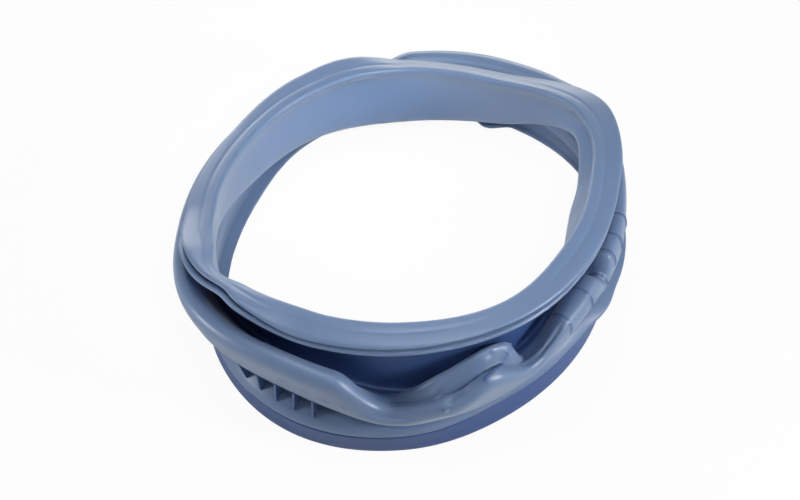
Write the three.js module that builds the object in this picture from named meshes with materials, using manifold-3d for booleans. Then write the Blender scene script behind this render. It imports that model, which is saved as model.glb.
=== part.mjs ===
// Door seal of a front loading washing machine: one moulded rubber bellows, lying on its clamp band.
// Millimetres, +Z up. Angles are degrees anticlockwise from +X, so that the near side is at 270.
import * as THREE from 'three';
import { mergeVertices } from 'three/addons/utils/BufferGeometryUtils.js';
import Module from 'manifold-3d';

// Clamp band on the floor, which the rest of the ring takes its radii from
const bandRadius = 190;         // before the rubber sags out of round
const bandHeight = 22;
const bandWall = 5;
const clampGroove = 2.5;        // height of the groove above the band
const clampGrooveDepth = 3.2;
const beadHeight = 4.3;
const beadProud = 0.6;
const beadToShelf = 3.5;
const footFlange = 14;          // inward flange under the band, outer face to tip
const footThickness = 4;
const edgeBreak = 2;            // broken lower edge of the band

// Front lip, which the door closes on
const throatInset = 34;         // inner edge of the lip, inward of the band
const lipHeight = 115;          // face of the lip above the floor
const faceWidth = 27;           // inner edge to outer edge of the face
const faceCrown = 1.1;          // the face stands this much above its inner edge
const faceGrooveAt = 11;        // sealing groove, from the inner edge
const faceGrooveDepth = 0.9;
const flangeThickness = 4.1;    // each of the two flanges that grip the cabinet edge
const channelGap = 3.2;         // slot between them
const channelDepth = 10;
const secondFlangeProud = 2.5;    // the lower flange reaches this much beyond the face
const lipUndercut = 5;          // the neck starts this far behind the inner edge
const grooveHalfWidth = 2.5;
const edgeRound = 1.6;          // rounding of the lip's edges
const neckLead = 3;             // the neck runs straight for this much under the lip

// Neck, fold and roll, all of one wall
const wall = 3.6;
const foldInset = 34;           // inside of the neck where it turns outward, inward of the band
const foldHeight = 50;          // underside of that turn
const foldBend = 5.5;           // bend of the middle of the wall
const rollInset = 2;            // top of the roll, inward of the band
const rollHeight = 88;
const rollHalfWidth = 8;        // middle of the wall, roll centre to side

// Skirt and shelf, which carry the roll on the band
const skirtProud = 6;           // the skirt's edge, outward of the band
const skirtHeight = 50;
const skirtEdge = 7;            // upright part above the skirt's lower edge
const shelfInset = 13;          // the wall under the skirt stands back this far from it
const shelfStart = 0.72;        // share of the way down that wall at which the shelf begins

// Small ribs
const gussetCount = 5;
const gussetFirst = 226;
const gussetPitch = 5.2;
const gussetThickness = 1.8;
const gussetProud = 0.6;
const gussetReach = 0.88;       // how far out along the shelf they stand
const ribAngles = [320, 330.5, 340.6, 345.5, 351.3, 358];
const ribThickness = 1.6;
const ribProud = 1.3;
const nibAngle = 281;           // one short nib on the skirt
const nibProud = 2.2;

// The free ring sags out of round. Each list says how far a size departs from its value above,
// every 30 degrees round the ring.
const sag = {
  throat: [1, 21, 5, 6, 3, 1, 5, 12, -3, -6, -3, -7],
  lip: [12, 2, -10, -19, -22, -20, -12, -1, 10, 19, 22, 20],
  face: [0, 5, 0, 0, 0, -3, 0, 0, -1, -2, -5, -2],
  undercut: [0, 2, 6, 4, 0, -1, -1, -1, 0, 0, 0, 0],
  fold: [-14, 20, 10, -5, -1, -3, 8, 8, -1, -2, -6, -14],
  foldLift: [22, 28, -13, -19, -21, -13, -2, 6, 4, -4, 0, 10],
  roll: [-6, 12, 9, 6, -4, -6, -1, 11, -1, -6, -10, -20],
  rollLift: [4, 10, 5, -6, -13, -11, -5, 8, 12, 0, -6, -3],
  rollWidth: [0, -1, 4, 1, 0, 0, -1, 0, 0, 0, 0, 2.5],
  skirt: [-3, 7, 10, 7, 2, -4, 1, 7, -5, -3, -16.5, -20.5],
  skirtLift: [-5, 0, 2, 0, -4, -2, 7, 7, 5, -2, -9, -5],
  shelf: [-4, 8, 11, 8, 3, -6, -2, 3, -4, -4, -18, -22],
  band: [-5, 16, 18, 18, 4, -15, -17, -2, 6, -2, -12.5, -13],
  bandLift: [0, 6, 8, 3, 0, 0, 0, 0, 0, 0, 0, 0],
  bandLean: [0, 0, 0, 0, 0, 0, 0, 0, 0, 0, 5, 3],
  bead: [11.6, 3.6, 0.6, 0.6, 0.6, 0.6, 0, 0, 0, 0, 0, 1.6],
  flange: [0, -5, -3, -1, 0, 2, 1, 2, 0, 0, 0, 0],
};

// Outward lean of the face, in degrees, every 30 degrees round the ring
const faceLean = [20, 10, 28, 27, 4, 15, 18, 20, 10, 4, -3, 14];

// Short dents and swells: what they change, where, how far round they reach, and how much
const dents = [
  { of: 'rollLift', at: 266, reach: 14, by: -30 },
  { of: 'rollWidth', at: 266, reach: 16, by: -3 },
  { of: 'skirtLift', at: 266, reach: 14, by: -4 },
  { of: 'rollLift', at: 280, reach: 12, by: -12 },
  { of: 'rollLift', at: 291, reach: 15, by: 7 },
  { of: 'roll', at: 282, reach: 16, by: 6 },
  { of: 'roll', at: 46, reach: 16, by: 2 },
  { of: 'roll', at: 39, reach: 8, by: 3 },
  { of: 'rollLift', at: 101, reach: 13, by: -14 },
  { of: 'lean', at: 106, reach: 16, by: -12 },
  { of: 'flange', at: 65, reach: 7, by: 11 },
  { of: 'bead', at: 341, reach: 9, by: 3 },
  { of: 'throat', at: 228, reach: 18, by: -2 },
  { of: 'fold', at: 20, reach: 12, by: -3 },
  { of: 'face', at: 20, reach: 12, by: -2 },
  { of: 'rollLift', at: 307, reach: 14, by: -15 },
  { of: 'rollWidth', at: 312, reach: 18, by: -4 },
  { of: 'rollLift', at: 340, reach: 4.5, by: -16 },
  { of: 'rollWidth', at: 340, reach: 4.5, by: -3 },
  { of: 'roll', at: 340, reach: 4.5, by: 3 },
  { of: 'lean', at: 210, reach: 30, by: -50 },
  { of: 'face', at: 211, reach: 13, by: -8 },
  { of: 'face', at: 221, reach: 20, by: -3 },
  { of: 'throat', at: 208.5, reach: 10, by: 6 },
];

// The inner side of the roll is tucked up into a second, narrow pleat on the near right
const pleat = {
  rises: [259, 287],
  falls: [299, 307],
  height: 33,
  lean: 5,
  thinning: 0.5,
  squeeze: 1.5,
  fill: 7,                      // how far its foot beside the roll rises with it
};

// Steps round the ring, finer where it is folded
const coarseStep = 6;
const fineStep = 3;
const fineFrom = 250;
const fineTo = 346;

const rubber = new THREE.MeshStandardMaterial({ color: 0x7f95b3, roughness: 0.55, metalness: 0 });

function roundTheRing(stations, angle) {
  // Smooth periodic curve through evenly spaced stations
  const count = stations.length;
  const place = (((angle % 360) + 360) % 360) * count / 360;
  const first = Math.floor(place);
  const t = place - first;
  const pick = (step) => stations[(first + step + count) % count];
  const [a, b, c, d] = [pick(-1), pick(0), pick(1), pick(2)];
  return b + 0.5 * t * (c - a + t * (2 * a - 5 * b + 4 * c - d + t * (3 * (b - c) + d - a)));
}

function dentAt(angle, at, reach) {
  // One at the middle, nothing beyond the reach
  const away = Math.abs(((angle - at + 540) % 360) - 180) / reach;
  return away < 1 ? (1 - away * away) ** 2 : 0;
}

function smoothStep(angle, [from, to]) {
  const t = Math.min(Math.max((angle - from) / (to - from), 0), 1);
  return t * t * (3 - 2 * t);
}

function sagAt(name, angle) {
  const stations = name === 'lean' ? faceLean : sag[name];
  const dented = (sum, dent) => sum + dent.by * dentAt(angle, dent.at, dent.reach);
  return dents.filter((dent) => dent.of === name).reduce(dented, roundTheRing(stations, angle));
}

function pleatAt(angle) {
  const turn = ((angle % 360) + 360) % 360;
  return smoothStep(turn, pleat.rises) * (1 - smoothStep(turn, pleat.falls));
}

function between(p, q, share) {
  return { r: p.r + (q.r - p.r) * share, z: p.z + (q.z - p.z) * share };
}

function lipPlacer(angle) {
  // Places a point of the lip: u outward along the face, v up from it
  const lean = THREE.MathUtils.degToRad(sagAt('lean', angle));
  const r = bandRadius - throatInset + sagAt('throat', angle);
  const z = lipHeight + sagAt('lip', angle);
  return (u, v) => ({
    r: r + u * Math.cos(lean) + v * Math.sin(lean),
    z: z - u * Math.sin(lean) + v * Math.cos(lean),
  });
}

const secondFlangeTop = flangeThickness - faceCrown + channelGap;
const lipDepth = secondFlangeTop + flangeThickness;

function lipOutline(angle) {
  // From the foot of the neck's inner side, over the face, round the channel and under the second flange
  const lip = lipPlacer(angle);
  const width = faceWidth + sagAt('face', angle);
  const secondWidth = width + secondFlangeProud;
  const neckStart = lipUndercut + sagAt('undercut', angle);
  const faceUnderside = secondFlangeTop - channelGap;
  const flat = width - channelDepth;
  return [
    lip(neckStart / 2, edgeRound - lipDepth),
    lip(edgeRound / 3, -faceUnderside - edgeRound / 2),
    lip(0, -edgeRound),
    lip(edgeRound, faceCrown / 2),
    lip(faceGrooveAt - grooveHalfWidth, faceCrown),
    lip(faceGrooveAt, faceCrown - faceGrooveDepth),
    lip(faceGrooveAt + grooveHalfWidth, faceCrown),
    lip(width - 2 * edgeRound, faceCrown),
    lip(width - edgeRound / 2, 0),
    lip(width, -faceUnderside / 2),
    lip(width - edgeRound, -faceUnderside),
    lip(flat + channelGap / 3, -faceUnderside),
    lip(flat, -faceUnderside - channelGap / 2),
    lip(flat + channelGap / 3, -secondFlangeTop),
    lip(secondWidth - 1.5 * edgeRound, -secondFlangeTop),
    lip(secondWidth - edgeRound / 2, -(secondFlangeTop + lipDepth) / 2),
    lip(secondWidth - 1.5 * edgeRound, -lipDepth),
    lip(neckStart + wall + neckLead, -lipDepth - wall / 2),
  ];
}

const eighth = Math.SQRT1_2;   // an eighth of a turn round the roll

function wallPath(angle) {
  // Middle of the wall from the lip, down the neck, up over the roll and down to the foot of the shelf
  const half = wall / 2;
  const lip = lipPlacer(angle);
  const neckTop = lip(lipUndercut + sagAt('undercut', angle) + half, -lipDepth - neckLead);
  const fold = {
    r: bandRadius - foldInset + sagAt('fold', angle) + half + foldBend,
    z: foldHeight + sagAt('foldLift', angle) + half + foldBend,
  };
  const neckFoot = { r: fold.r - foldBend, z: fold.z + half };
  const foldExit = { r: fold.r + 0.8 * foldBend, z: fold.z - 0.5 * foldBend };
  const tuck = pleatAt(angle);
  const thin = half - pleat.thinning * tuck;
  const side = rollHalfWidth + sagAt('rollWidth', angle);
  const roll = {
    r: bandRadius - rollInset + sagAt('roll', angle),
    z: rollHeight + sagAt('rollLift', angle) - half - side,
  };
  const rollFoot = { r: roll.r - side + pleat.squeeze * tuck, z: roll.z - 1 };
  const rollBack = { r: roll.r + side, z: roll.z - 1 };
  const skirt = {
    r: bandRadius + skirtProud + sagAt('skirt', angle),
    z: skirtHeight + sagAt('skirtLift', angle),
  };
  const skirtTop = { r: skirt.r - half, z: skirt.z + skirtEdge };
  const shelf = bandRadius + skirtProud - shelfInset + sagAt('shelf', angle);
  const foot = shelfFoot(angle);
  const node = (point, shiftR = 0, shiftZ = 0, thick = half) => (
    { r: point.r + shiftR, z: point.z + shiftZ, half: thick }
  );
  const rise = (share, shiftR, shiftZ) => (
    node(between(foldExit, rollFoot, share), shiftR * tuck, shiftZ * tuck, thin)
  );
  return [
    node(neckTop),
    node(between(neckTop, neckFoot, 0.5)),
    node(neckFoot),
    node(fold, -0.75 * foldBend, -0.65 * foldBend),
    node(fold, 0, -foldBend),
    node(foldExit),
    rise(0.3, -pleat.lean, pleat.height / 2),
    rise(0.5, -pleat.lean, pleat.height),
    rise(0.7, -pleat.lean / 3, pleat.height - wall),
    node(rollFoot, 0, pleat.fill * tuck, thin),
    node(roll, -eighth * side + 1.6 * pleat.squeeze * tuck, eighth * side),
    node(roll, 0, side),
    node(roll, eighth * side, eighth * side),
    node(rollBack),
    node(between(rollBack, skirtTop, 0.5), 0.6, 0),
    node(skirtTop),
    node({ r: skirt.r - half - 0.8, z: skirt.z + 0.8 + half }),
    node({ r: shelf + half, z: skirt.z + 0.8 + half }),
    node({ r: shelf, z: between(skirt, foot, shelfStart).z }),
    node(foot),
  ];
}

const beadTop = bandHeight + clampGroove + beadHeight;

function bandLiftAt(angle) {
  // The band stands on the floor, apart from its far right
  return Math.max(sagAt('bandLift', angle), 0);
}

function shelfFoot(angle) {
  const outside = bandRadius + sagAt('band', angle) - sagAt('bandLean', angle);
  return { r: outside - bandWall / 2 - 1, z: beadTop + beadToShelf + bandLiftAt(angle) };
}

function bandOutline(angle) {
  // From the bead, down the outside, under the foot flange and up the inside
  const outside = bandRadius + sagAt('band', angle);
  const inside = outside - bandWall;
  const tip = outside - footFlange - sagAt('flange', angle);
  const bead = outside + beadProud + sagAt('bead', angle);
  const lift = bandLiftAt(angle);
  const lean = sagAt('bandLean', angle);
  const at = (r, z) => ({ r: r - lean * Math.min(z / bandHeight, 1), z: z + lift });
  return [
    at(bead, beadTop - 0.5),
    at(bead, beadTop - beadHeight),
    at(outside - clampGrooveDepth, bandHeight + clampGroove / 2),
    at(outside - 0.3, bandHeight),
    at(outside, bandHeight - edgeBreak),
    at(outside, edgeBreak),
    at(outside - edgeBreak, 0),
    at(tip + edgeBreak / 2, 0),
    at(tip, footThickness / 2),
    at(tip + edgeBreak / 2, footThickness),
    at(inside, footThickness + edgeBreak / 2),
    at(inside, bandHeight + clampGroove),
  ];
}

function offsetSide(path, side) {
  // Points half the wall away from the path; side 1 is the outside of the moulding, -1 the inside
  const direction = (p, q) => new THREE.Vector2(q.r - p.r, q.z - p.z).normalize();
  return path.map((point, i) => {
    const before = direction(path[Math.max(i - 1, 0)], path[Math.max(i, 1)]);
    const after = direction(path[Math.min(i, path.length - 2)], path[Math.min(i + 1, path.length - 1)]);
    const along = before.clone().add(after).normalize();
    const innerCorner = before.cross(after) * side > 0;
    const mitre = Math.min(1 / Math.max(along.dot(before), 0.05), innerCorner ? 3.5 : 1.15);
    const away = side * point.half * mitre;
    return { r: point.r - along.y * away, z: point.z + along.x * away };
  });
}

function sectionAt(angle) {
  const path = wallPath(angle);
  return [
    ...lipOutline(angle),
    ...offsetSide(path, 1),
    ...bandOutline(angle),
    ...offsetSide(path, -1).reverse(),
  ];
}

function place(point, angle) {
  const turn = THREE.MathUtils.degToRad(angle);
  return [point.r * Math.cos(turn), point.r * Math.sin(turn), point.z];
}

function stepsRoundTheRing() {
  const angles = [];
  for (let angle = fineTo - 360; angle < fineFrom; angle += coarseStep) {
    angles.push(angle);
  }
  for (let angle = fineFrom; angle < fineTo; angle += fineStep) {
    angles.push(angle);
  }
  return angles;
}

function ringGeometry() {
  const angles = stepsRoundTheRing();
  const sections = angles.map(sectionAt);
  const count = sections[0].length;
  const positions = sections.flatMap((section, i) => section.flatMap((point) => place(point, angles[i])));
  const index = [];
  for (let i = 0; i < angles.length; i += 1) {
    const next = (i + 1) % angles.length;
    for (let j = 0; j < count; j += 1) {
      const beyond = (j + 1) % count;
      const corners = [i * count + j, next * count + j, next * count + beyond, i * count + beyond];
      index.push(corners[0], corners[2], corners[1], corners[0], corners[3], corners[2]);
    }
  }
  const geometry = new THREE.BufferGeometry();
  geometry.setAttribute('position', new THREE.Float32BufferAttribute(positions, 3));
  geometry.setIndex(index);
  return geometry;
}

function plateGeometry(outline, angle, thickness) {
  // A flat plate standing in the radial plane at an angle
  const shape = new THREE.Shape(outline.map((point) => new THREE.Vector2(point.r, point.z)));
  const geometry = new THREE.ExtrudeGeometry(shape, { depth: thickness, bevelEnabled: false });
  geometry.translate(0, 0, -thickness / 2);
  geometry.rotateX(Math.PI / 2);
  geometry.rotateZ(THREE.MathUtils.degToRad(angle));
  return geometry;
}

function gussetPlate(angle) {
  // Web between the skirt's underside and the shelf
  const [skirt, inner, shelf, foot] = wallPath(angle).slice(-4);
  const stand = between(shelf, foot, gussetReach);
  return plateGeometry([
    { r: skirt.r, z: skirt.z },
    { r: inner.r, z: inner.z },
    { r: shelf.r, z: shelf.z },
    stand,
    { r: stand.r + wall / 2, z: stand.z + wall / 2 },
    { r: skirt.r + wall / 2 + gussetProud, z: skirt.z },
  ], angle, gussetThickness);
}

function ribPlate(angle) {
  // Low rib over the top of the roll, sunk halfway into its wall
  const crossed = wallPath(angle).slice(9, 15);
  const onWall = offsetSide(crossed.map((point) => ({ ...point, half: point.half + ribProud })), 1);
  const inWall = crossed.map(({ r, z }) => ({ r, z }));
  return plateGeometry([...onWall, ...inWall.reverse()], angle, ribThickness);
}

function nibPlate(angle) {
  const path = wallPath(angle);
  const [middle, skirtTop, skirt] = path.slice(-6, -3);
  return plateGeometry([
    between(middle, skirtTop, 0.3),
    { r: skirtTop.r + wall / 2 + nibProud, z: skirtTop.z },
    { r: skirt.r + wall / 2 + nibProud, z: skirt.z },
    { r: skirt.r, z: skirt.z },
  ], angle, gussetThickness);
}

const wasm = await Module();
wasm.setup();

function solidFrom(geometry) {
  const bare = geometry.clone();
  bare.deleteAttribute('normal');
  bare.deleteAttribute('uv');
  const merged = mergeVertices(bare, 1e-4);
  return new wasm.Manifold(new wasm.Mesh({
    numProp: 3,
    vertProperties: new Float32Array(merged.attributes.position.array),
    triVerts: new Uint32Array(merged.index.array),
  }));
}

function geometryFrom(solid) {
  const mesh = solid.getMesh();
  const geometry = new THREE.BufferGeometry();
  geometry.setAttribute('position', new THREE.Float32BufferAttribute(mesh.vertProperties, 3));
  geometry.setIndex(Array.from(mesh.triVerts));
  return geometry;
}

function doorSeal() {
  const spaced = (first, pitch, count) => Array.from({ length: count }, (_, i) => first + i * pitch);
  const plates = [
    ...spaced(gussetFirst, gussetPitch, gussetCount).map(gussetPlate),
    ...ribAngles.map(ribPlate),
    nibPlate(nibAngle),
  ];
  const joined = plates.reduce((solid, plate) => solid.add(solidFrom(plate)), solidFrom(ringGeometry()));
  const geometry = geometryFrom(joined);
  geometry.computeBoundingBox();
  const middle = geometry.boundingBox.getCenter(new THREE.Vector3());
  geometry.translate(-middle.x, -middle.y, -geometry.boundingBox.min.z);
  geometry.computeVertexNormals();
  const seal = new THREE.Mesh(geometry, rubber);
  seal.name = 'door_seal';
  return seal;
}

const part = new THREE.Group();
part.add(doorSeal());

export default part;
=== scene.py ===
# Door seal of a front loading washing machine: one moulded rubber bellows, lying on its clamp band.
# Sizes are in millimetres round the ring's own axis. The finished mesh is in metres, in the model's frame.
import math
import bpy
import numpy as np
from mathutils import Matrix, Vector


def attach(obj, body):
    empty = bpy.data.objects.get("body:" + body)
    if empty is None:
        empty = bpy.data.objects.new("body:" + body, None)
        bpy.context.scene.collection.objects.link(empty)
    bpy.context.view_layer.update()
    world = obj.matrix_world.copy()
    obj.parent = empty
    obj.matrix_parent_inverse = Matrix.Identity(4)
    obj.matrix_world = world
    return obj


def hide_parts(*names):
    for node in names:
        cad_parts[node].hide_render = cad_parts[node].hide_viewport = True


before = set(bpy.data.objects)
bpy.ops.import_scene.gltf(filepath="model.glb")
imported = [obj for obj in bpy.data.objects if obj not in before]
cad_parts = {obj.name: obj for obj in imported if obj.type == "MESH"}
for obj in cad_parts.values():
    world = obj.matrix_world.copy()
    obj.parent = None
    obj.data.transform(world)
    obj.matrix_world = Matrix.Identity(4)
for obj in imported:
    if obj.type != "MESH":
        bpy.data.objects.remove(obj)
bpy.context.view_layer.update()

millimetre = 0.001

# The moulding, before it sags out of round: what a user would change
seal = {
    "axis": (-0.929, -7.943),         # middle of the ring in the model's frame
    "throatRadius": 156, "lipHeight": 115, "faceWidth": 27, "faceCrown": 1.1,
    "grooveAt": 11, "grooveDepth": 0.9, "grooveHalf": 2.5,
    "flange": 4.1, "channelGap": 3.2, "channelDepth": 10, "secondProud": 2.5,
    "undercut": 5, "edgeRound": 1.6, "neckLead": 3,
    "wall": 3.6, "foldRadius": 156, "foldHeight": 50, "foldBend": 5.5,
    "rollRadius": 188, "rollHeight": 88, "rollHalf": 8,
    "skirtRadius": 196, "skirtHeight": 50, "skirtEdge": 7, "skirtInner": 0.8,
    "shelfInset": 13, "shelfDrop": 0.72,
    "bandRadius": 190, "bandHeight": 22, "bandWall": 5, "clampGroove": 2.5, "clampGrooveDepth": 3.2,
    "beadHeight": 4.3, "beadProud": 0.6, "beadToShelf": 3.5,
    "footFlange": 14, "footThickness": 4, "edgeBreak": 2,
    "pleatRises": (259, 287), "pleatFalls": (299, 307), "pleatHeight": 33, "pleatLean": 5,
    "pleatThinning": 0.5, "pleatSqueeze": 1.5, "pleatFill": 7,
}

# How far each size departs from its value above, every 30 degrees from the right round by the far side
sag = {
    "throat": [1, 21, 5, 6, 3, 1, 5, 12, -3, -6, -3, -7],
    "lip": [12, 2, -10, -19, -22, -20, -12, -1, 10, 19, 22, 20],
    "face": [0, 5, 0, 0, 0, -3, 0, 0, -1, -2, -5, -2],
    "undercut": [0, 2, 6, 4, 0, -1, -1, -1, 0, 0, 0, 0],
    "fold": [-14, 20, 10, -5, -1, -3, 8, 8, -1, -2, -6, -14],
    "foldLift": [22, 28, -13, -19, -21, -13, -2, 6, 4, -4, 0, 10],
    "roll": [-6, 12, 9, 6, -4, -6, -1, 11, -1, -6, -10, -20],
    "rollLift": [4, 10, 5, -6, -13, -11, -5, 8, 12, 0, -6, -3],
    "rollWidth": [0, -1, 4, 1, 0, 0, -1, 0, 0, 0, 0, 2.5],
    "skirt": [-3, 7, 10, 7, 2, -4, 1, 7, -5, -3, -16.5, -20.5],
    "skirtLift": [-5, 0, 2, 0, -4, -2, 7, 7, 5, -2, -9, -5],
    "shelf": [-4, 8, 11, 8, 3, -6, -2, 3, -4, -4, -18, -22],
    "band": [-5, 16, 18, 18, 4, -15, -17, -2, 6, -2, -12.5, -13],
    "bandLift": [0, 6, 8, 3, 0, 0, 0, 0, 0, 0, 0, 0],
    "bandLean": [0, 0, 0, 0, 0, 0, 0, 0, 0, 0, 5, 3],
    "bead": [11.6, 3.6, 0.6, 0.6, 0.6, 0.6, 0, 0, 0, 0, 0, 1.6],
    "flange": [0, -5, -3, -1, 0, 2, 1, 2, 0, 0, 0, 0],
    "lean": [20, 10, 28, 27, 4, 15, 18, 20, 10, 4, -3, 14],
}

# Short dents and swells: what they change, where, how far round they reach, and how much
dents = [
    ("rollLift", 266, 14, -30), ("rollWidth", 266, 16, -3), ("skirtLift", 266, 14, -4),
    ("rollLift", 280, 12, -12), ("roll", 282, 16, 6), ("rollLift", 291, 15, 7),
    ("roll", 46, 16, 2), ("roll", 39, 8, 3), ("rollLift", 101, 13, -14), ("lean", 106, 16, -12),
    ("flange", 65, 7, 11), ("bead", 341, 9, 3), ("throat", 228, 18, -2), ("fold", 20, 12, -3),
    ("face", 20, 12, -2), ("rollLift", 307, 14, -15), ("rollWidth", 312, 18, -4),
    ("rollLift", 340, 4.5, -16), ("rollWidth", 340, 4.5, -3), ("roll", 340, 4.5, 3),
    ("lean", 210, 30, -50), ("face", 211, 13, -8), ("face", 221, 20, -3), ("throat", 208.5, 10, 6),
]

# Lines round the ring, in degrees: how far apart they are, and where they are finer
rounds = {"coarse": 1.2, "fine": 0.5, "fineFrom": 250, "fineTo": 345}

# Small ribs across the roll, each with a groove beside it: their angles, the lines of the grid that each
# takes, the degrees kept clear of other lines, and the places along the wall that they span
# The shade of a rib darkens its groove with painted shade
ribs = {
    "at": [320, 330.5, 340.6, 345.5, 351.3, 358], "lines": [-0.55, -0.27, 0.27, 0.55], "clear": 0.8,
    "across": (9, 13.8), "fade": 0.8, "proud": 1.3, "groove": 1.4, "shade": 0.9,
}

# Creases and ridges: how far they rise, how wide they are, how dark, and the line that each follows, as
# angles and places along the wall
# The shade of each crease is painted shade, darkening the colour along its line
creases = [
    {"rise": -1.8, "width": 1.9, "shade": 1,
     "line": [(300.9, 7.93), (298.6, 8.8), (296.6, 10), (294.5, 11.25), (290, 11.87)]},
    {"rise": 1.5, "width": 2.0, "shade": 0,
     "line": [(280.9, 11.94), (282.9, 11.45), (285, 11.4)]},
    {"rise": -2.0, "width": 2.5, "shade": 0.5,
     "line": [(280.7, 9.69), (284.2, 9.45), (288.3, 9.82)]},
    {"rise": 2.0, "width": 2.4, "shade": 0,
     "line": [(277, 10.75), (279.3, 8.87), (282.6, 8.62), (287.1, 8.63), (291.7, 8.74), (293.3, 8.62)]},
    {"rise": 1.6, "width": 1.8, "shade": 0,
     "line": [(300.3, 8.57), (301.9, 9.6), (304.2, 11.29), (309, 11.69), (315.2, 11.86), (317.2, 11.92)]},
    {"rise": -0.8, "width": 0.9, "shade": 0.6,
     "line": [(239.6, 14.4), (244.8, 14.6), (249.6, 14.8), (255.6, 15)]},
]

# Webs between the skirt's underside and the shelf. Reach is the share of the shelf that they stand on.
# The plates are coloured almost wholly in painted shade
gussets = {
    "at": [226, 231.2, 236.4, 241.6, 246.8], "thickness": 1.8, "proud": 0.6, "reach": 0.88, "unshaded": 0.15,
}

# One moulding nib on the outer side of the roll
nib = {"at": [279.9], "thickness": 3.4, "proud": 3.4, "lift": 1.2, "unshaded": 1}


def smoothStep(value, start, end):
    # Nought before the start, one past the end, and an S curve between them
    t = np.clip((value - start) / (end - start), 0, 1)
    return t * t * (3 - 2 * t)


def plateau(value, start, risen, falling, end):
    # Climbs from nought to one, stays there and comes down again
    return smoothStep(value, start, risen) * (1 - smoothStep(value, falling, end))


def dentAt(angle, at, reach):
    # One at the middle and nothing beyond the reach: the square of one less the distance squared
    away = np.clip(np.abs((angle - at + 180) % 360 - 180) / reach, 0, 1)
    return (1 - away * away) ** 2


def sagAt(name, angle):
    # Catmull-Rom curve through the stations, closed on itself, plus the dents of the same name
    stations = np.array(sag[name], float)
    count = len(stations)
    place = (angle % 360) * count / 360
    first = np.floor(place).astype(int)
    t = place - first
    a, b, c, d = [stations[(first + step) % count] for step in (-1, 0, 1, 2)]
    curve = b + 0.5 * t * (c - a + t * (2 * a - 5 * b + 4 * c - d + t * (3 * (b - c) + d - a)))
    return curve + sum(by * dentAt(angle, at, reach) for of, at, reach, by in dents if of == name)


def pair(radius, height):
    # One point of the section at every angle
    radius, height = np.broadcast_arrays(np.asarray(radius, float), np.asarray(height, float))
    return np.stack([radius, height], axis=-1)


def between(p, q, share):
    # The point that lies a share of the way from p to q
    return p + (q - p) * np.asarray(share)[..., None]


def lipPlacer(angle):
    # Turns the lip's own u, outward along the face, and v, up from it, by the lean of the face
    lean = np.radians(sagAt("lean", angle))
    radius = seal["throatRadius"] + sagAt("throat", angle)
    height = seal["lipHeight"] + sagAt("lip", angle)

    def lip(u, v):
        outward = u * np.cos(lean) + v * np.sin(lean)
        return pair(radius + outward, height - u * np.sin(lean) + v * np.cos(lean))
    return lip


# Depths below the lip's face, and the bead's height over the floor
secondTop = seal["flange"] - seal["faceCrown"] + seal["channelGap"]
lipDepth = secondTop + seal["flange"]
beadTop = seal["bandHeight"] + seal["clampGroove"] + seal["beadHeight"]

# Corners of the lip's outline, and nodes of the wall's path; places along the wall count from the first node
lipCount = 18
pathCount = 20

# Roundings of the wall's path: long stretches, bends and the foot of the shelf
soft, tight, sharp = 20, 9, 2

# The wall's mitres are never longer than these shares of its thickness
mitre = {"inner": 3.5, "outer": 1.15, "flattest": 0.05}

# Keeps a division by a length from failing where two points meet
tiny = 1e-6


def lipCorners(angle):
    # From the foot of the neck's inner side, over the face, round the channel and under the second flange.
    # Each corner comes with its rounding and the number of points on it.
    lip = lipPlacer(angle)
    width = seal["faceWidth"] + sagAt("face", angle)
    neck = seal["undercut"] + sagAt("undercut", angle)
    under = secondTop - seal["channelGap"]
    flat = width - seal["channelDepth"]
    proud = seal["secondProud"]
    edge, crown, gap = seal["edgeRound"], seal["faceCrown"], seal["channelGap"]
    groove, half = seal["grooveAt"], seal["grooveHalf"]
    return [
        (lip(neck / 2, edge - lipDepth), 6, 3),
        (lip(edge / 3, -under - edge / 2), 3, 2),
        (lip(0, -edge), 1.2, 3),
        (lip(edge, crown / 2), 2.4, 4),
        (lip(groove - half, crown), 2, 3),
        (lip(groove, crown - seal["grooveDepth"]), 1.6, 3),
        (lip(groove + half, crown), 2, 3),
        (lip(width - 2 * edge, crown), 3, 4),
        (lip(width - edge / 2, 0), 1.2, 3),
        (lip(width, -under / 2), 0.9, 3),
        (lip(width - edge, -under), 0.8, 3),
        (lip(flat + gap / 3, -under), 1, 2),
        (lip(flat, -under - gap / 2), 1, 2),
        (lip(flat + gap / 3, -secondTop), 1, 2),
        (lip(width + proud - 1.5 * edge, -secondTop), 1, 3),
        (lip(width + proud - edge / 2, -(secondTop + lipDepth) / 2), 1, 3),
        (lip(width + proud - 1.5 * edge, -lipDepth), 1.2, 3),
        (lip(neck + seal["wall"] + seal["neckLead"], -lipDepth - seal["wall"] / 2), 3, 3),
    ]


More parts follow.
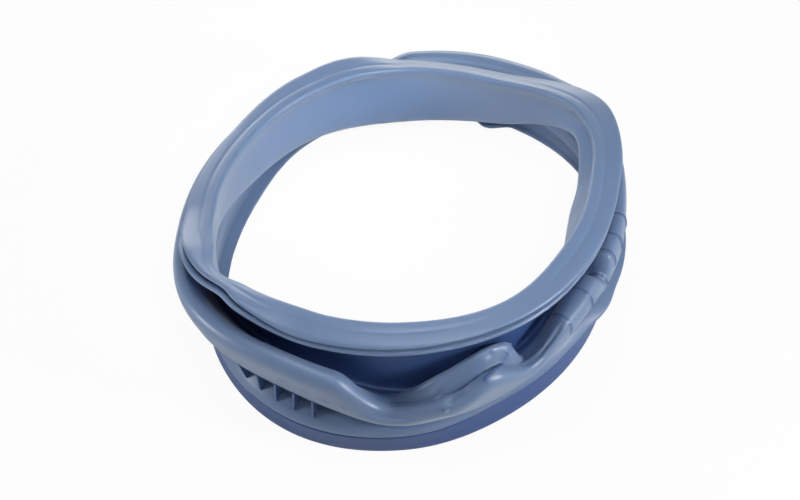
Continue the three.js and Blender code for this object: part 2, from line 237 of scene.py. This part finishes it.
def wallPath(angle):
    # Middle of the wall from the lip, down the neck, over the roll and down to the foot of the shelf. Each
    # node comes with half the wall there, the number of points on it and its rounding.
    half = seal["wall"] / 2
    bend = seal["foldBend"]
    lip = lipPlacer(angle)
    neckTop = lip(seal["undercut"] + sagAt("undercut", angle) + half, -lipDepth - seal["neckLead"])
    fold = pair(seal["foldRadius"] + sagAt("fold", angle) + half + bend,
                seal["foldHeight"] + sagAt("foldLift", angle) + half + bend)
    neckFoot = fold + [-bend, half]
    foldExit = fold + [0.8 * bend, -0.5 * bend]
    turn = angle % 360
    tuck = smoothStep(turn, *seal["pleatRises"]) * (1 - smoothStep(turn, *seal["pleatFalls"]))
    squeeze = seal["pleatSqueeze"] * tuck
    thin = half - seal["pleatThinning"] * tuck
    side = seal["rollHalf"] + sagAt("rollWidth", angle)
    slant = math.sqrt(0.5) * side
    roll = pair(seal["rollRadius"] + sagAt("roll", angle),
                seal["rollHeight"] + sagAt("rollLift", angle) - half - side)
    rollFoot = roll + pair(squeeze - side, -1)
    rollBack = roll + pair(side, -1)
    skirt = pair(seal["skirtRadius"] + sagAt("skirt", angle),
                 seal["skirtHeight"] + sagAt("skirtLift", angle))
    skirtTop = skirt + [-half, seal["skirtEdge"]]
    skirtInside = skirt[:, 1] + seal["skirtInner"] + half
    shelf = seal["skirtRadius"] - seal["shelfInset"] + sagAt("shelf", angle)
    lift = np.maximum(sagAt("bandLift", angle), 0)
    lean, rise = seal["pleatLean"] * tuck, seal["pleatHeight"] * tuck
    bandTop = seal["bandRadius"] + sagAt("band", angle) - sagAt("bandLean", angle)
    shelfFoot = pair(bandTop - seal["bandWall"] / 2 - 1, beadTop + seal["beadToShelf"] + lift)
    shelfTop = between(pair(shelf, skirt[:, 1]), shelfFoot, seal["shelfDrop"])[:, 1]
    same = half * np.ones_like(angle)
    nodes = [
        (neckTop, same, 3, tight),
        (between(neckTop, neckFoot, 0.5), same, 4, soft),
        (neckFoot, same, 3, tight),
        (fold + [-0.75 * bend, -0.65 * bend], same, 3, tight),
        (fold + [0, -bend], same, 3, tight),
        (foldExit, same, 3, tight),
        (between(foldExit, rollFoot, 0.3) + pair(-lean, rise / 2), thin, 4, soft),
        (between(foldExit, rollFoot, 0.5) + pair(-lean, rise), thin, 4, soft),
        (between(foldExit, rollFoot, 0.7) + pair(-lean / 3, rise - seal["wall"] * tuck), thin, 4, soft),
        (rollFoot + pair(0, seal["pleatFill"] * tuck), thin, 3, tight),
        (roll + pair(1.6 * squeeze - slant, slant), same, 4, tight),
        (roll + pair(0, side), same, 4, tight),
        (roll + pair(slant, slant), same, 4, tight),
        (rollBack, same, 4, tight),
        (between(rollBack, skirtTop, 0.5) + [0.6, 0], same, 4, soft),
        (skirtTop, same, 3, 5),
        (pair(skirt[:, 0] - half - seal["skirtInner"], skirtInside), same, 4, 1.6),
        (pair(shelf + half, skirtInside), same, 3, 3),
        (pair(shelf, shelfTop), same, 3, sharp),
        (shelfFoot, same, 2, sharp),
    ]
    path = np.stack([node[0] for node in nodes], axis=1)
    thickness = np.stack([node[1] for node in nodes], axis=1)
    return path, thickness, [node[2] for node in nodes], [node[3] for node in nodes]


def offsetSide(path, half, side):
    # Half the wall away from the path, along the bisector of its two edges, lengthened as a mitre is
    edges = np.diff(path, axis=1)
    edges /= np.linalg.norm(edges, axis=2, keepdims=True)
    before = np.concatenate([edges[:, :1], edges], axis=1)
    after = np.concatenate([edges, edges[:, -1:]], axis=1)
    along = before + after
    along /= np.maximum(np.linalg.norm(along, axis=2, keepdims=True), tiny)
    inner = (before[..., 0] * after[..., 1] - before[..., 1] * after[..., 0]) * side > 0
    longer = 1 / np.maximum((along * before).sum(axis=2), mitre["flattest"])
    away = side * half * np.minimum(longer, np.where(inner, mitre["inner"], mitre["outer"]))
    return path + np.stack([-along[..., 1] * away, along[..., 0] * away], axis=-1)


def bandCorners(angle):
    # From the bead, down the outside, under the foot flange and up the inside
    outside = seal["bandRadius"] + sagAt("band", angle)
    inside = outside - seal["bandWall"]
    tip = outside - seal["footFlange"] - sagAt("flange", angle)
    lift = np.maximum(sagAt("bandLift", angle), 0)
    lean = sagAt("bandLean", angle)
    bead = outside + seal["beadProud"] + sagAt("bead", angle)
    top, groove = seal["bandHeight"], seal["clampGroove"]
    edge, foot = seal["edgeBreak"], seal["footThickness"]

    def at(radius, height):
        return pair(radius - lean * np.minimum(height / top, 1), height + lift)
    return [
        (at(bead, beadTop - 0.5), 1.2, 3),
        (at(bead, beadTop - seal["beadHeight"]), 1.2, 3),
        (at(outside - seal["clampGrooveDepth"], top + groove / 2), 1, 3),
        (at(outside, top), 0.6, 3),
        (at(outside, top - edge), 1, 2),
        (at(outside, top / 2), 4, 4),
        (at(outside, edge), 1.2, 3),
        (at(outside - edge, 0), 0.8, 2),
        (at(tip + edge / 2, 0), 0.8, 2),
        (at(tip, foot / 2), 1, 3),
        (at(tip + edge / 2, foot), 0.8, 2),
        (at(inside, foot + edge / 2), 2, 2),
        (at(inside, top + groove), 3, 2),
    ]


def roundedOutline(corners, rounding, steps):
    # Each corner becomes a quadratic curve, from its rounding along one edge to its rounding along the next,
    # or to the middle of an edge that is too short
    toBefore = np.roll(corners, 1, axis=1) - corners
    toAfter = np.roll(corners, -1, axis=1) - corners
    lengthBefore = np.maximum(np.linalg.norm(toBefore, axis=2), tiny)
    lengthAfter = np.maximum(np.linalg.norm(toAfter, axis=2), tiny)
    start = corners + toBefore * (np.minimum(rounding, lengthBefore / 2) / lengthBefore)[..., None]
    end = corners + toAfter * (np.minimum(rounding, lengthAfter / 2) / lengthAfter)[..., None]
    of = np.repeat(np.arange(len(steps)), steps)
    t = (np.arange(len(of)) - np.repeat(np.cumsum(steps) - steps, steps) + 0.5) / np.repeat(steps, steps)
    t = t[None, :, None]
    curve = (1 - t) ** 2 * start[:, of] + 2 * t * (1 - t) * corners[:, of] + t ** 2 * end[:, of]
    return curve, of + t[0, :, 0]


def anglesRound():
    # Even lines, closer on the folded side, with those beside each rib replaced by the rib's own
    coarse = np.arange(rounds["fineTo"] - 360, rounds["fineFrom"], rounds["coarse"])
    fine = np.arange(rounds["fineFrom"], rounds["fineTo"], rounds["fine"])
    even = np.concatenate([coarse, fine]) % 360
    middles = np.array(ribs["at"])[:, None]
    near = np.abs(even - middles).min(axis=0) < ribs["clear"]
    return np.sort(np.concatenate([even[~near], (middles + ribs["lines"]).ravel()]) % 360)


def sealSurface():
    # A closed section carried round the ring: x is its radius times the cosine of the angle, y its radius
    # times the sine, both from the ring's axis, and z its height. Ribs and creases rise along the normal.
    angle = anglesRound()
    path, half, pathSteps, pathRound = wallPath(angle)
    lip, band = lipCorners(angle), bandCorners(angle)
    corners = np.concatenate([
        np.stack([c[0] for c in lip], axis=1), offsetSide(path, half, 1),
        np.stack([c[0] for c in band], axis=1), offsetSide(path, half, -1)[:, ::-1]], axis=1)
    rounding = np.array([c[1] for c in lip] + pathRound + [c[1] for c in band] + pathRound[::-1], float)
    steps = np.array([c[2] for c in lip] + pathSteps + [c[2] for c in band] + pathSteps[::-1])
    section, column = roundedOutline(corners, rounding, steps)
    turn = np.radians(angle)[:, None]
    x = section[..., 0] * np.cos(turn) + seal["axis"][0]
    y = section[..., 0] * np.sin(turn) + seal["axis"][1]
    points = np.stack([x, y, section[..., 1]], axis=-1)
    raised, sunk = ribShares(angle, column)
    rise = ribs["proud"] * raised - ribs["groove"] * sunk
    shade = ribs["shade"] * sunk
    for crease in creases:
        share = creaseShare(crease, angle, column, points)
        rise += crease["rise"] * share
        shade = np.maximum(shade, crease["shade"] * share)
    return angle, column, points + surfaceNormal(points) * rise[..., None], shade


def surfaceNormal(points):
    # Across the two lines of the grid through each point
    along = np.roll(points, -1, axis=0) - np.roll(points, 1, axis=0)
    across = np.roll(points, -1, axis=1) - np.roll(points, 1, axis=1)
    normal = np.cross(along, across)
    return normal / np.maximum(np.linalg.norm(normal, axis=2, keepdims=True), tiny)


def ribShares(angle, column):
    # How much each point belongs to the raised and to the sunk line of a rib, over the roll only
    away = angle[:, None] - np.array(ribs["at"])
    nearest = np.abs(away).argmin(axis=1)
    away = away[np.arange(len(angle)), nearest]
    low, high = ribs["across"]
    crossed = plateau(column - lipCount, low, low + ribs["fade"], high, high + ribs["fade"])
    return [np.isclose(away, line)[:, None] * crossed for line in ribs["lines"][1:3]]


def placedAt(angle, column, points, places):
    # Points of the surface at places given as angle and place along the wall
    rows = [np.abs(angle - place[0]).argmin() for place in places]
    columns = [np.abs(column - lipCount - place[1]).argmin() for place in places]
    return points[rows, columns]


def creaseShare(crease, angle, column, points):
    # A bell curve, e to the minus square of the distance over the width, on the outside of the wall only
    line = placedAt(angle, column, points, crease["line"])
    start, along = line[:-1], np.diff(line, axis=0)
    flat = points.reshape(-1, 1, 3)
    t = np.clip(((flat - start) * along).sum(axis=2) / (along ** 2).sum(axis=1), 0, 1)
    distance = np.linalg.norm(flat - start - t[..., None] * along, axis=2).min(axis=1)
    share = np.exp(-(distance / crease["width"]) ** 2).reshape(points.shape[:2])
    return share * (column < lipCount + pathCount)


def closedGrid(rows, columns):
    # Quads of a grid that closes on itself both ways
    i, j = np.meshgrid(np.arange(rows), np.arange(columns), indexing="ij")
    row, nextRow = i * columns, (i + 1) % rows * columns
    nextColumn = (j + 1) % columns
    return np.stack([row + j, row + nextColumn, nextRow + nextColumn, nextRow + j], axis=-1).reshape(-1, 4)


def radialPlates(plates, outline, firstPoint):
    # Flat plates in the ring's radial planes. Every face has corners of its own, so its edges stay crisp.
    turn = np.radians(plates["at"])[:, None]
    radial = np.stack([np.cos(turn), np.sin(turn)], axis=-1)
    across = np.stack([-np.sin(turn), np.cos(turn)], axis=-1) * plates["thickness"] / 2
    height = outline[..., 1:]
    middle = outline[..., :1] * radial + seal["axis"]
    left, right = [np.concatenate([middle + sign * across, height], axis=-1) for sign in (-1, 1)]
    number, count = outline.shape[:2]
    edges = np.stack([left, np.roll(left, -1, axis=1), np.roll(right, -1, axis=1), right], axis=2)
    corners = np.concatenate([left[:, ::-1], right, edges.reshape(number, -1, 3)], axis=1)
    faces = [range(count), range(count, 2 * count)]
    faces += [range(start, start + 4) for start in range(2 * count, 6 * count, 4)]
    starts = range(firstPoint, firstPoint + number * 6 * count, 6 * count)
    return corners.reshape(-1, 3), [tuple(k + start for k in face) for start in starts for face in faces]


def gussetOutline():
    # Under the skirt, down the wall behind it and out along the shelf
    skirt, inner, shelf, foot = [wallPath(np.array(gussets["at"]))[0][:, k] for k in range(-4, 0)]
    half = seal["wall"] / 2
    stand = between(shelf, foot, gussets["reach"])
    tip = skirt + [half + gussets["proud"], 0]
    return np.stack([skirt, inner, shelf, stand, stand + [half, half], tip], axis=1)


def nibOutline():
    # From the outer side of the roll's crest down past its back
    crest, back, middle = [wallPath(np.array(nib["at"]))[0][:, k] for k in range(-8, -5)]
    return np.stack([crest, crest + [nib["proud"], nib["lift"]], back, middle], axis=1)


def meshObject(name, points, faces):
    # A smooth piece at the origin, with its place in its mesh
    mesh = bpy.data.meshes.new(name)
    mesh.from_pydata((points * millimetre).tolist(), [], faces)
    mesh.shade_smooth()
    piece = bpy.data.objects.new(name, mesh)
    bpy.context.scene.collection.objects.link(piece)
    return piece


# Where deep blue shade is painted: places along the wall between which it changes, and how far it does
paintedShade = {
    "channel": (-7.8, -7.4, -4.4, -4, 1), "shelf": (16.2, 16.6, 17.6, 18.4, 0.5),
    "bead": (20.5, 20.8, 21, 21.3, 0.4), "groove": (21.2, 21.5, 23, 23.3, 1),
    "band": (22.6, 23, 27, 30, 0.95),
}

# Shade is painted in the fold too, but from these places on only below these heights
paintedFoldShade = {"along": (-1.8, -1.2, 9.4, 11), "from": (5, 7), "below": (46, 66)}


def unshadedOf(column, points):
    # One where the rubber lies open and nought where shade is painted in deep blue
    out = column - lipCount
    shadedShare = np.max([share * plateau(out, *ends) for *ends, share in paintedShade.values()], axis=0)
    risen = smoothStep(out, *paintedFoldShade["from"]) * smoothStep(points[..., 2], *paintedFoldShade["below"])
    return 1 - np.maximum(plateau(out, *paintedFoldShade["along"]) * (1 - risen), shadedShare)


def paint(piece, values):
    # The share of every vertex that is free of painted shade, as an attribute of its own that the material
    # reads
    layer = piece.data.attributes.new("unshaded", "FLOAT", "POINT")
    layer.data.foreach_set("value", values)


# The deep colour is painted shade, laid where the vertex attribute is nought
rubberLook = {
    "shadeColour": (0.040, 0.085, 0.235), "open": (0.112, 0.180, 0.322), "paler": (0.140, 0.212, 0.352),
    "roughness": 0.38, "roughnessSpread": 0.1,
    "sheen": 0.25, "sheenRoughness": 0.5, "sheenColour": (0.9, 0.92, 0.88),
    "cloudScale": 14, "cloudDetail": 4, "grainScale": 900, "grainDetail": 2, "grainDepth": 0.04,
}


def rubberMaterial():
    # A cloud of two open colours, over a deep blue painted shade where the attribute is nought, with sheen
    # only where no shade is painted, and a fine grain
    look = rubberLook
    material = bpy.data.materials.new("blueRubber")
    material.use_nodes = True
    nodes, links = material.node_tree.nodes, material.node_tree.links
    shader = nodes["Principled BSDF"]
    place = nodes.new("ShaderNodeTexCoord")
    cloud = nodes.new("ShaderNodeTexNoise")
    cloud.inputs["Scale"].default_value = look["cloudScale"]
    cloud.inputs["Detail"].default_value = look["cloudDetail"]
    links.new(place.outputs["Object"], cloud.inputs["Vector"])
    tint = nodes.new("ShaderNodeMix")
    tint.data_type = "RGBA"
    tint.inputs["A"].default_value = (*look["open"], 1)
    tint.inputs["B"].default_value = (*look["paler"], 1)
    links.new(cloud.outputs["Fac"], tint.inputs["Factor"])
    unshaded = nodes.new("ShaderNodeAttribute")
    unshaded.attribute_name = "unshaded"
    # Painted shade: the deep colour wherever the vertex attribute is nought
    shadeMix = nodes.new("ShaderNodeMix")
    shadeMix.data_type = "RGBA"
    shadeMix.inputs["A"].default_value = (*look["shadeColour"], 1)
    links.new(tint.outputs["Result"], shadeMix.inputs["B"])
    links.new(unshaded.outputs["Fac"], shadeMix.inputs["Factor"])
    links.new(shadeMix.outputs["Result"], shader.inputs["Base Color"])
    gloss = nodes.new("ShaderNodeMapRange")
    gloss.inputs["To Min"].default_value = look["roughness"] - look["roughnessSpread"] / 2
    gloss.inputs["To Max"].default_value = look["roughness"] + look["roughnessSpread"] / 2
    links.new(cloud.outputs["Fac"], gloss.inputs["Value"])
    links.new(gloss.outputs["Result"], shader.inputs["Roughness"])
    # The sheen is kept out of the painted shade
    sheenOutsideShade = nodes.new("ShaderNodeMath")
    sheenOutsideShade.operation = "MULTIPLY"
    sheenOutsideShade.inputs[1].default_value = look["sheen"]
    links.new(unshaded.outputs["Fac"], sheenOutsideShade.inputs[0])
    links.new(sheenOutsideShade.outputs["Value"], shader.inputs["Sheen Weight"])
    shader.inputs["Sheen Roughness"].default_value = look["sheenRoughness"]
    shader.inputs["Sheen Tint"].default_value = (*look["sheenColour"], 1)
    grain = nodes.new("ShaderNodeTexNoise")
    grain.inputs["Scale"].default_value = look["grainScale"]
    grain.inputs["Detail"].default_value = look["grainDetail"]
    links.new(place.outputs["Object"], grain.inputs["Vector"])
    bump = nodes.new("ShaderNodeBump")
    bump.inputs["Strength"].default_value = look["grainDepth"]
    bump.inputs["Distance"].default_value = millimetre
    links.new(grain.outputs["Fac"], bump.inputs["Height"])
    links.new(bump.outputs["Normal"], shader.inputs["Normal"])
    return material


angle, column, surface, shade = sealSurface()
faces = closedGrid(len(angle), len(column)).tolist()
points = surface.reshape(-1, 3)
# Painted shade: the places listed, the creases and the rib grooves darken each vertex
unshaded = (unshadedOf(column, surface) * (1 - shade)).ravel()
for plates, outline in ((gussets, gussetOutline()), (nib, nibOutline())):
    platePoints, plateFaces = radialPlates(plates, outline, len(points))
    points = np.concatenate([points, platePoints])
    faces += plateFaces
    unshaded = np.append(unshaded, np.full(len(platePoints), plates["unshaded"]))
moulding = meshObject("mouldedSeal", points, faces)
paint(moulding, unshaded)
moulding.data.materials.append(rubberMaterial())
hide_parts("door_seal")
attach(moulding, "root")
print("seal made:", len(angle), "lines round,", len(column), "points on each,", len(faces), "faces")

# Seen is the share of plain white that the camera sees in place of the lit floor
floor = {"size": 8, "colour": (0.94, 0.94, 0.94), "roughness": 0.9, "seen": 0.94}


def makeFloor():
    # A flat square that stays its own pale colour for the camera, while it still takes the seal's shadow
    half = floor["size"] / 2
    mesh = bpy.data.meshes.new("floor")
    corners = [(-half, -half, 0), (half, -half, 0), (half, half, 0), (-half, half, 0)]
    mesh.from_pydata(corners, [], [(0, 1, 2, 3)])
    ground = bpy.data.objects.new("floor", mesh)
    bpy.context.scene.collection.objects.link(ground)
    material = bpy.data.materials.new("paleFloor")
    material.use_nodes = True
    nodes, links = material.node_tree.nodes, material.node_tree.links
    shader = nodes["Principled BSDF"]
    shader.inputs["Base Color"].default_value = (*floor["colour"], 1)
    shader.inputs["Roughness"].default_value = floor["roughness"]
    shader.inputs["Specular IOR Level"].default_value = 0
    glow = nodes.new("ShaderNodeEmission")
    glow.inputs["Color"].default_value = (1, 1, 1, 1)
    rays = nodes.new("ShaderNodeLightPath")
    share = nodes.new("ShaderNodeMath")
    share.operation = "MULTIPLY"
    share.inputs[1].default_value = floor["seen"]
    mix = nodes.new("ShaderNodeMixShader")
    links.new(rays.outputs["Is Camera Ray"], share.inputs[0])
    links.new(share.outputs["Value"], mix.inputs["Fac"])
    links.new(shader.outputs["BSDF"], mix.inputs[1])
    links.new(glow.outputs["Emission"], mix.inputs[2])
    links.new(mix.outputs["Shader"], nodes["Material Output"].inputs["Surface"])
    mesh.materials.append(material)


makeFloor()

lamps = {
    "key": {"at": (-0.08, -0.02, 0.80), "to": (0, 0, 0.05), "size": (0.35, 0.35),
            "power": 1.9, "spread": 180},
    "inner": {"at": (0.12, -0.42, 0.75), "to": (-0.04, 0.12, 0), "size": (0.2, 0.2),
              "power": 0.26, "spread": 36},
    "left": {"at": (-1.35, -0.30, 0.40), "to": (0, 0, 0.05), "size": (0.35, 0.35),
             "power": 9, "spread": 180},
    "right": {"at": (1.35, -0.50, 0.60), "to": (0, 0, 0.05), "size": (0.35, 0.3),
              "power": 17, "spread": 180},
    "back": {"at": (-0.25, 1.5, 0.30), "to": (0, 0, 0.08), "size": (1.6, 0.4),
             "power": 12, "spread": 180},
}
studio = {"ambient": (0.9, 0.94, 1), "strength": 0.10, "backdrop": (1, 1, 1)}


def makeLamps():
    # One soft rectangular lamp for each entry, turned towards what it lights
    for name, lamp in lamps.items():
        data = bpy.data.lights.new(name, "AREA")
        data.shape = "RECTANGLE"
        data.size, data.size_y = lamp["size"]
        data.energy = lamp["power"]
        data.spread = math.radians(lamp["spread"])
        light = bpy.data.objects.new(name, data)
        light.location = lamp["at"]
        ray = Vector(lamp["to"]) - Vector(lamp["at"])
        light.rotation_euler = ray.to_track_quat("-Z", "Y").to_euler()
        bpy.context.scene.collection.objects.link(light)


def makeStudio():
    # A weak even light, and a white backdrop that only the camera sees
    world = bpy.data.worlds.new("studio")
    world.use_nodes = True
    nodes, links = world.node_tree.nodes, world.node_tree.links
    ambient = nodes["Background"]
    ambient.inputs["Color"].default_value = (*studio["ambient"], 1)
    ambient.inputs["Strength"].default_value = studio["strength"]
    seen = nodes.new("ShaderNodeBackground")
    seen.inputs["Color"].default_value = (*studio["backdrop"], 1)
    rays = nodes.new("ShaderNodeLightPath")
    mix = nodes.new("ShaderNodeMixShader")
    links.new(rays.outputs["Is Camera Ray"], mix.inputs["Fac"])
    links.new(ambient.outputs["Background"], mix.inputs[1])
    links.new(seen.outputs["Background"], mix.inputs[2])
    links.new(mix.outputs["Shader"], nodes["World Output"].inputs["Surface"])
    bpy.context.scene.world = world


makeLamps()
makeStudio()
print("floor and lamps made")

view = {
    "target": (-0.004929, -0.029943, 0.060), "elevation": 52, "distance": 1.350,
    "lens": 70, "sensor": 36, "clipEnd": 20,
}


def makeCamera():
    # Looks along +Y, down at its elevation, from its distance to the target
    rise = math.radians(view["elevation"])
    back = Vector((0, -math.cos(rise), math.sin(rise)))
    data = bpy.data.cameras.new("camera")
    data.lens = view["lens"]
    data.sensor_width = view["sensor"]
    data.sensor_fit = "HORIZONTAL"
    data.clip_end = view["clipEnd"]
    camera = bpy.data.objects.new("camera", data)
    camera.location = Vector(view["target"]) + back * view["distance"]
    camera.rotation_euler = (-back).to_track_quat("-Z", "Y").to_euler()
    bpy.context.scene.collection.objects.link(camera)
    bpy.context.scene.camera = camera


makeCamera()
bpy.context.scene.view_settings.view_transform = "Standard"
print("camera made")
